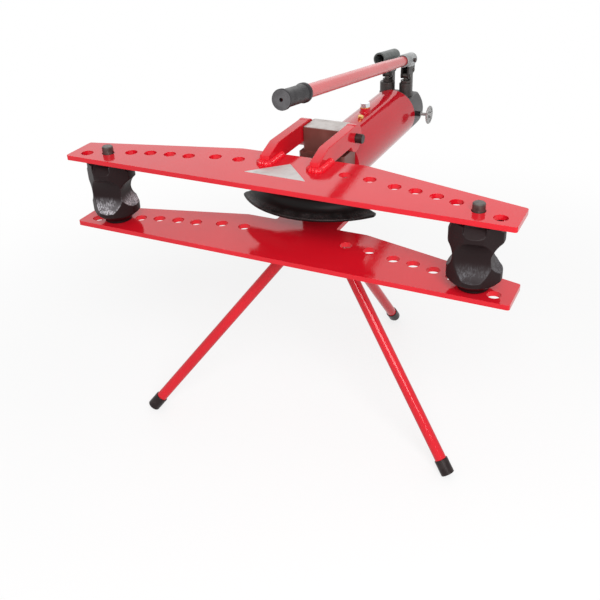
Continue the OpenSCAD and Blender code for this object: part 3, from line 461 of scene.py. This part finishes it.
# The film's corners: X, and how far each lies behind the wing's front edge.
FILM_LEFT = (-0.0886, 0.0633)
FILM_RIGHT = (0.0697, 0.0606)
FILM_BACK = (-0.0081, 0.1417)
film_silver = metal_film("silver_film", colour=(0.55, 0.53, 0.515, 1), dusty=(0.46, 0.44, 0.425, 1),
                         rough=0.35, stretch=(900, 40, 40))
front = wing_low.y
triangle = [(x, front + behind) for x, behind in (FILM_LEFT, FILM_RIGHT, FILM_BACK)]
outline = rounded_corners(triangle, FILM_CORNER_R)
film = slab("wing_marker", outline, wing_high.z, wing_high.z + FILM_T, film_silver)
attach(film, "upper_wing_unit")


# Head block: a milled steel block, blackened and oily, bolted up through the lower wing's tongue.
# It carries the ram's guide and the hinge pin, and its neck fits between the arms.
def milled(name, colour, light, rough):
    """Milled and blackened steel: cutter marks along X, lighter stains."""
    finish = Finish(name)
    passes = finish.noise(scale=1, detail=2, stretch=(30, 1400, 1400))
    stain = finish.band(finish.noise(scale=22, detail=5), low=0.38, high=0.7)
    finish.set({"Base Color": finish.mix(stain, colour, light)})
    finish.set({"Roughness": rough + 0.14 * stain, "Metallic": 0.35})
    finish.bump(passes + 0.6 * finish.noise(scale=300, detail=2), distance=0.00025, strength=0.5)
    return finish.material


block_steel = milled("blackened_block", colour=(0.18, 0.056, 0.045, 1), light=(0.22, 0.074, 0.06, 1),
                     rough=0.38)
eased("head_block", block_steel, edge=0.0012)
hinge_steel = turned("black_hinge_pin", colour=(0.016, 0.007, 0.006, 1), bright=(0.034, 0.018, 0.016, 1),
                     rough=0.34, metal=0.3, stretch=(1600, 40, 40))
coat(hinge_steel, "hinge_pin")
coat(pin_steel, "block_bolts")


# Block plate: a plain aluminium plate that covers the top of the block's neck, held down by glue.
# It is satin with fine brushing across the block and a few dull patches.
PLATE_T = 0.0007
PLATE_CORNER_R = 0.003
PLATE_ARM_GAP = 0.0032
# How far the plate's ends lie behind the wing's front edge.
PLATE_NEAR = 0.3005
PLATE_FAR = 0.3655
plate_silver = metal_film("brushed_plate", colour=(0.50, 0.47, 0.45, 1), dusty=(0.42, 0.39, 0.37, 1),
                          rough=0.35, stretch=(30, 1800, 40))
block_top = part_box("head_block")[1].z
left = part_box("left_arm")[1].x + PLATE_ARM_GAP
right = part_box("right_arm")[0].x - PLATE_ARM_GAP
near, far = front + PLATE_NEAR, front + PLATE_FAR
outline = rounded_corners([(left, near), (right, near), (right, far), (left, far)], PLATE_CORNER_R)
plate = slab("block_plate", outline, block_top, block_top + PLATE_T, plate_silver)
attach(plate, "frame")


# Tripod: a welded steel hub under the tongue with three socket tubes.
# Three painted tube legs are pushed into them.
# They end in moulded rubber caps, cut flat where they stand on the floor.
def rubber(name, colour, dusty, rough):
    """Moulded rubber: a fine grain, greyed by dust in patches."""
    finish = Finish(name)
    dust = finish.band(finish.noise(scale=60, detail=5), low=0.45, high=0.8)
    grain = finish.noise(scale=1300, detail=2)
    finish.set({"Base Color": finish.mix(dust, colour, dusty), "Roughness": rough + 0.15 * dust})
    finish.set({"Specular IOR Level": 0.25})
    finish.bump(grain, distance=0.0002, strength=0.5)
    return finish.material


cap_rubber = rubber("cap_rubber", colour=(0.014, 0.007, 0.007, 1), dusty=(0.028, 0.019, 0.018, 1),
                    rough=0.32)
eased("tripod_hub", red_paint, edge=0.001)
for leg in ("left", "right", "rear"):
    coat(red_paint, "leg_" + leg)
    eased("cap_" + leg, cap_rubber, edge=0.0012)


# Ram: a ground steel rod with its piston in a honed cylinder, guided by a bronze bush in the head block.
# Oil pushes it forward; the coil spring round the rod, held between block and piston, draws it back.
def bright(name, colour, rough, stretch):
    """Bare metal: fine lines from the tool, duller where it is smeared."""
    finish = Finish(name)
    lines = finish.noise(scale=1, detail=2, stretch=stretch)
    smear = finish.band(finish.noise(scale=40, detail=4), low=0.4, high=0.75)
    finish.set({"Base Color": colour, "Metallic": 1.0, "Roughness": rough + 0.10 * smear + 0.06 * lines})
    finish.bump(lines, distance=0.00006, strength=0.4)
    return finish.material


ground_steel = bright("ground_steel", colour=(0.62, 0.61, 0.60, 1), rough=0.16, stretch=(60, 2200, 60))
bronze = bright("guide_bronze", colour=(0.50, 0.31, 0.13, 1), rough=0.3, stretch=(60, 1800, 60))
spring_steel = bright("spring_steel", colour=(0.16, 0.15, 0.145, 1), rough=0.35, stretch=(400, 400, 400))
coat(ground_steel, "ram_rod", "piston", "pressure_cylinder")
coat(bronze, "ram_bush")
coat(cap_rubber, "rod_wiper", "piston_seal", "tank_seal")

WIRE_R = 0.003
WIRE_SIDES = 10
TURN_STEPS = 28


def spring_tree():
    """A coil of round wire that rises along Z."""
    tree, size = tree_of("return_spring", {
        "Turns": "Float", "Radius": "Float", "Length": "Float", "Wire": "Float", "Finish": "Material"})
    coil = step(tree, "GeometryNodeCurveSpiral", {
        "Resolution": TURN_STEPS, "Rotations": size["Turns"], "Start Radius": size["Radius"],
        "End Radius": size["Radius"], "Height": size["Length"]})
    circle = {"Radius": size["Wire"], "Resolution": WIRE_SIDES}
    ring = step(tree, "GeometryNodeCurvePrimitiveCircle", circle)
    sweep = {"Curve": coil, "Profile Curve": ring, "Fill Caps": True}
    wire = step(tree, "GeometryNodeCurveToMesh", sweep)
    return close_tree(tree, wire, size["Finish"])


def joint(name):
    """A joint's row in the frame."""
    return next(row for row in frame["joints"] if row["name"] == name)


low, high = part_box("return_spring")
spring = grow("coil_spring", bpy.data.meshes.new("coil_seed"), spring_tree(), spring_steel, Turns=14.0,
              Radius=(high.x - low.x) / 2 - WIRE_R, Length=high.y - low.y - 2 * WIRE_R, Wire=WIRE_R)
spring.data.transform(Matrix.Translation(((low.x + high.x) / 2, low.y + WIRE_R, (low.z + high.z) / 2))
                      @ Matrix.Rotation(math.radians(-90), 4, "X"))
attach(spring, "ram")
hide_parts("return_spring")
ram_travel = joint("ram_slide")["range_m"][1]
1 - ram_travel / (high.y - low.y)
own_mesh(spring)


# Former: a black iron casting with the pipe's groove round its curved front.
# It has ribbed pockets above and below, slips over the ram's nose and is held by a short pin.
# Its up-facing faces below the top get the same lighter streaks: scuffs and a painted highlight.
former_iron = cast_iron("former_iron", colour=(0.005, 0.0042, 0.0042, 1), worn_and_lit=(0.08, 0.075, 0.075, 1),
                        rough=0.33, top=0.662)
cast_skin("former", former_iron, voxel=0.002)
coat(pin_steel, "former_pin")


# Tank: a rolled and welded steel tube, its red a shade darker than the wings', its rear end closed by the
# pump head.
# On top are the welded filler neck with its zinc plug on a brass washer, and a brass bleed screw.
SADDLE_POINTS = 60
tank_paint = paint("tank_paint", colour=(0.57, 0.009, 0.021, 1), shade=(0.52, 0.008, 0.019, 1),
                   rough=0.06, shine=0.3)
eased("reservoir_tank", tank_paint, edge=0.0015)
eased("filler_boss", tank_paint, edge=0.0012)
low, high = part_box("filler_boss")
tank_low, tank_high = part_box("reservoir_tank")
boss_r, tank_r = (high.x - low.x) / 2, (tank_high.x - tank_low.x) / 2
boss_y, tank_z = (low.y + high.y) / 2, tank_high.z - tank_r
saddle = []
for i in range(SADDLE_POINTS):
    angle = math.tau * i / SADDLE_POINTS
    x, y = boss_r * math.cos(angle), boss_r * math.sin(angle)
    saddle.append((x, boss_y + y, tank_z + math.sqrt(tank_r ** 2 - x ** 2)))
line = path_mesh("filler_weld_line", saddle, closed=True)
weld = grow("filler_weld", line, weld_bead, tank_paint, Radius=0.0021, Ripple=0.14, Pitch=0.0031)
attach(weld, "frame")
zinc = bright("bright_zinc", colour=(0.72, 0.73, 0.75, 1), rough=0.2, stretch=(300, 300, 300))
brass = bright("plain_brass", colour=(0.72, 0.46, 0.15, 1), rough=0.24, stretch=(60, 60, 1800))
coat(brass, "filler_washer", "bleed_screw")
eased("filler_plug", zinc, edge=0.0006)


# Pump head: a grey iron casting spigoted into the tank, with a milled pad on top for both pumps.
# Two blackened check valve plugs are screwed into its back.
def grey_casting(name, colour, light, rough):
    """Bare cast iron: a sandy grain and slow patches of tone."""
    finish = Finish(name)
    sand = finish.noise(scale=330, detail=3)
    patch = finish.band(finish.noise(scale=18, detail=4), low=0.35, high=0.7)
    finish.set({"Base Color": finish.mix(patch, colour, light)})
    finish.set({"Roughness": rough + 0.12 * sand, "Metallic": 0.15})
    finish.bump(sand, distance=0.0004, strength=0.5)
    return finish.material


head_iron = grey_casting("pump_head_iron", colour=(0.068, 0.066, 0.067, 1),
                         light=(0.098, 0.095, 0.096, 1), rough=0.42)
eased("pump_head", head_iron, edge=0.001)
pump_steel = milled("blackened_pump_steel", colour=(0.028, 0.022, 0.021, 1),
                    light=(0.06, 0.05, 0.047, 1), rough=0.36)
coat(pump_steel, "valve_plugs")


# Hand pumps: a large fast pump on the left and a small strong one on the right, blackened steel bodies with
# hexagon gland nuts, ground plungers, and slim posts that hold the levers' fulcrum pins.
plunger_steel = bright("plunger_steel", colour=(0.08, 0.075, 0.07, 1), rough=0.34, stretch=(60, 60, 1800))
for side in ("left", "right"):
    eased(side + "_pump_body", pump_steel, edge=0.0006)
    eased(side + "_gland_nut", pump_steel, edge=0.0008)
    eased(side + "_post", pump_steel, edge=0.0008)
    coat(plunger_steel, side + "_plunger")
    coat(pin_steel, side + "_fulcrum_pin", side + "_plunger_pin")


# Levers: a steel socket tube on two plate ears for each pump, greyed on the left and lighter on the right.
# The right one holds the painted handle tube by a black screw.
LEVER_TILT = math.radians(8.4)
SEAM_HALF = 0.0005
STAIN_SHARE = 0.72
BLACK_EARS = (0.02, 0.016, 0.015, 1)


def lever_steel(name, side, tube, rise, rough):
    """Socket steel: the tube's own tone from a rise above the hinge, blackened on the ears below it."""
    finish = Finish(name)
    hinge = Vector(joint(side + "_lever_hinge")["pos_m"])
    height = finish.axis("Z", finish.place()) - hinge.z
    reach = finish.axis("Y", finish.place()) - hinge.y
    above = height * math.cos(LEVER_TILT) + reach * math.sin(LEVER_TILT)
    stain = finish.band(finish.noise(scale=26, detail=5), low=0.38, high=0.7)
    tone = finish.mix(stain, tube, [STAIN_SHARE * c for c in tube[:3]] + [1])
    seam = finish.band(above, rise - SEAM_HALF, rise + SEAM_HALF)
    finish.set({"Base Color": finish.mix(seam, BLACK_EARS, tone)})
    finish.set({"Roughness": rough + 0.14 * stain, "Metallic": 0.35})
    finish.bump(finish.noise(scale=300, detail=2), distance=0.00025, strength=0.5)
    return finish.material


socket_dark = lever_steel("dull_socket_steel", "left", tube=(0.095, 0.108, 0.102, 1),
                          rise=0.0175, rough=0.4)
socket_light = lever_steel("light_socket_steel", "right", tube=(0.40, 0.41, 0.41, 1),
                           rise=0.012, rough=0.36)
eased("left_socket", socket_dark, edge=0.0006)
eased("right_socket", socket_light, edge=0.0006)
coat(hinge_steel, "set_screw")
# The handle's pale pink colour is a painted sheen: the white surround's reflection mixed into the red.
handle_paint = paint("handle_paint", colour=(0.70, 0.15, 0.155, 1), shade=(0.66, 0.12, 0.125, 1),
                     rough=0.2, shine=0.5)
coat(handle_paint, "handle_tube")


# Handle grip: moulded black rubber with a flange at the pipe and a broader end disc with a hole in it.
# It is pushed over the tube's end.
def grip_finish(name, colour, lit_disc):
    """Moulded rubber, its end disc painted lighter as the face the light falls on, paler still in patches
    of bloom.
    """
    finish = Finish(name)
    normal = finish.node("ShaderNodeNewGeometry", {}, {}, "Normal")
    # The face turned to the front light is painted lighter: a painted highlight.
    end = 1 - finish.band(finish.axis("Y", normal), low=-0.97, high=-0.8)
    bloom = finish.band(finish.noise(scale=45, detail=4), low=0.35, high=0.7)
    finish.set({"Base Color": finish.mix(end * (0.55 + 0.45 * bloom), colour, lit_disc)})
    finish.set({"Roughness": 0.36 + 0.15 * bloom, "Specular IOR Level": 0.3})
    finish.bump(finish.noise(scale=1300, detail=2), distance=0.0002, strength=0.5)
    return finish.material


grip_rubber = grip_finish("grip_rubber", colour=(0.014, 0.0125, 0.0145, 1), lit_disc=(0.10, 0.096, 0.10, 1))
eased("handle_grip", grip_rubber, edge=0.0012)


# Release valve: a blackened steel spindle screwed into the pump head's side, with a thread where it shows.
# A scalloped wheel, cast in bright metal, is pressed on its end.
BARE_FADE_HALF = 0.0003


def spindle_steel(name, black, bare, change):
    """Blackened where it is threaded, bare steel from there to the wheel."""
    finish = Finish(name)
    along = finish.axis("X", finish.place())
    oil = finish.band(finish.noise(scale=90, detail=4), low=0.4, high=0.7)
    bright_end = finish.band(along, change - BARE_FADE_HALF, change + BARE_FADE_HALF)
    finish.set({"Base Color": finish.mix(bright_end, black, bare)})
    finish.set({"Roughness": 0.28 + 0.15 * oil, "Metallic": 0.6})
    finish.bump(finish.noise(scale=400, detail=2), distance=0.0001, strength=0.4)
    return finish.material


BAR_SIDES = 40
THREAD_PITCH = 0.002
THREAD_DEPTH = 0.0008
THREAD_STEP = 0.0003


def turned_bar(name, profile, thread):
    """A bar turned to a profile along X, with a thread between two lengths."""
    mesh = bpy.data.meshes.new(name)
    shape = bmesh.new()
    stations = []
    for (x0, r0), (x1, r1) in zip(profile, profile[1:]):
        threaded = thread[0] <= x0 < x1 <= thread[1]
        count = round((x1 - x0) / THREAD_STEP) if threaded else 1
        for i in range(count):
            stations.append((x0 + (x1 - x0) * i / count, r0 + (r1 - r0) * i / count, threaded))
    stations.append(profile[-1] + (False,))
    rings = []
    for x, r, cut in stations:
        ring = []
        for i in range(BAR_SIDES):
            phase = (x / THREAD_PITCH - i / BAR_SIDES) % 1
            radius = r - THREAD_DEPTH * abs(2 * phase - 1) if cut else r
            angle = math.tau * i / BAR_SIDES
            ring.append(shape.verts.new((x, radius * math.cos(angle), radius * math.sin(angle))))
        rings.append(ring)
    for one, two in zip(rings, rings[1:]):
        for i in range(BAR_SIDES):
            j = (i + 1) % BAR_SIDES
            shape.faces.new((one[i], one[j], two[j], two[i]))
    shape.faces.new(rings[0])
    shape.faces.new(rings[-1])
    bmesh.ops.recalc_face_normals(shape, faces=shape.faces)
    store(shape, mesh)
    return mesh


NEEDLE_R = 0.0033
NEEDLE_LENGTH = 0.008
BODY_R = 0.0065
THREAD_R = 0.0084
THREAD_LENGTH = 0.0165
CHAMFER_R = 0.0074
CHAMFER_LENGTH = 0.0012
STEM_R = 0.0045
SEAT_R = 0.0040
SEAT_LENGTH = 0.0160
SEAT_CONE = 0.0005
SHOULDER_CONE = 0.0002
low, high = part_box("valve_spindle")
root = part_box("pump_head")[1].x
shoulder = root + THREAD_LENGTH
thread_end = shoulder - CHAMFER_LENGTH
seat = high.x - SEAT_LENGTH
bar = turned_bar("threaded_spindle", [
    (low.x, NEEDLE_R), (low.x + NEEDLE_LENGTH, BODY_R), (root - SHOULDER_CONE, BODY_R),
    (root, THREAD_R), (thread_end, THREAD_R), (shoulder - SHOULDER_CONE, CHAMFER_R),
    (shoulder, STEM_R), (seat - SEAT_CONE, STEM_R), (seat, SEAT_R), (high.x, SEAT_R),
], (root, thread_end))
bar.transform(Matrix.Translation((0, (low.y + high.y) / 2, (low.z + high.z) / 2)))
stem_steel = spindle_steel("valve_spindle_steel", black=(0.012, 0.011, 0.011, 1),
                           bare=(0.28, 0.275, 0.27, 1), change=shoulder - CHAMFER_LENGTH / 2)
stand_in(bpy.data.objects.new("threaded_spindle", bar), "valve_spindle", stem_steel, [])
wheel_metal = bright("cast_wheel_metal", colour=(0.37, 0.365, 0.36, 1), rough=0.4, stretch=(300, 300, 300))
eased("valve_wheel", wheel_metal, edge=0.0005)


# Studio: a pale floor, a white surround and three broad soft lamps, seen at the photograph's angle.
# The floor keeps the machine's soft shadow.
def seen(finish):
    """1 for rays from the camera, reflections and refractions."""
    kinds = ("Is Camera Ray", "Is Glossy Ray", "Is Transmission Ray")
    camera, glossy, through = [finish.node("ShaderNodeLightPath", {}, {}, kind) for kind in kinds]
    return camera.math("MAXIMUM", camera.math("MAXIMUM", camera, glossy), through)


FLOOR_REACH = 14
floor_paint = Finish("pale_floor")
matt = floor_paint.node("ShaderNodeBsdfDiffuse", {}, {"Color": (0.62, 0.62, 0.62, 1)})
pale = floor_paint.node("ShaderNodeBsdfDiffuse", {}, {"Color": (0.94, 0.94, 0.94, 1)})
white = floor_paint.node("ShaderNodeEmission", {}, {"Strength": 1.0})
away = floor_paint.node("ShaderNodeVectorMath", {"operation": "LENGTH"}, {0: floor_paint.place()}, "Value")
lift = 0.74 + 0.26 * floor_paint.band(away, low=0.7, high=2.0)
lifted = floor_paint.node("ShaderNodeMixShader", {}, {0: lift, 1: pale, 2: white})
choice = floor_paint.node("ShaderNodeMixShader", {}, {0: seen(floor_paint), 1: matt, 2: lifted})
floor_paint.feed(floor_paint.tree.nodes["Material Output"].inputs["Surface"], choice)
floor_signs = ((-1, -1), (1, -1), (1, 1), (-1, 1))
floor_corners = [(FLOOR_REACH * x, FLOOR_REACH * y, 0) for x, y in floor_signs]
floor_mesh = bpy.data.meshes.new("floor")
floor_mesh.from_pydata(floor_corners, [], [(0, 1, 2, 3)])
floor_mesh.materials.append(floor_paint.material)
floor = bpy.data.objects.new("floor", floor_mesh)
bpy.context.scene.collection.objects.link(floor)

surround = Finish("white_surround", bpy.data.worlds, "Background")
surround.set({"Color": (1, 1, 1, 1), "Strength": 0.46 + 0.54 * seen(surround)})
bpy.context.scene.world = surround.material


def lamp(name, place, aim, size, power):
    """A square soft lamp at a place, turned to a point."""
    data = bpy.data.lights.new(name, "AREA")
    data.size = size
    data.energy = power
    light = bpy.data.objects.new(name, data)
    light.location = place
    light.rotation_euler = (Vector(aim) - Vector(place)).to_track_quat("-Z", "Y").to_euler()
    bpy.context.scene.collection.objects.link(light)


lamp("overhead", place=(-0.4, -0.6, 3.4), aim=(0, 0, 0.6), size=2.6, power=5)
lamp("front_fill", place=(1.7, -2.8, 2.6), aim=(0, 0, 0.7), size=2.2, power=125)
lamp("back_panel", place=(-1.6, 3.2, 2.9), aim=(0, 0, 0.7), size=4.2, power=26)

camera_data = bpy.data.cameras.new("camera")
camera_data.lens = 50.18
camera_data.sensor_width = 36
camera = bpy.data.objects.new("camera", camera_data)
# The columns are the camera's right, its up and the way back from what it looks at.
sight = Matrix(((0.8970, -0.1949, 0.3966), (0.4401, 0.4748, -0.7621), (-0.0397, 0.8582, 0.5118))).to_4x4()
sight.translation = (0.8467, -1.92072, 1.5017)
camera.matrix_world = sight
bpy.context.scene.collection.objects.link(camera)
bpy.context.scene.camera = camera
bpy.context.scene.view_settings.view_transform = "Standard"
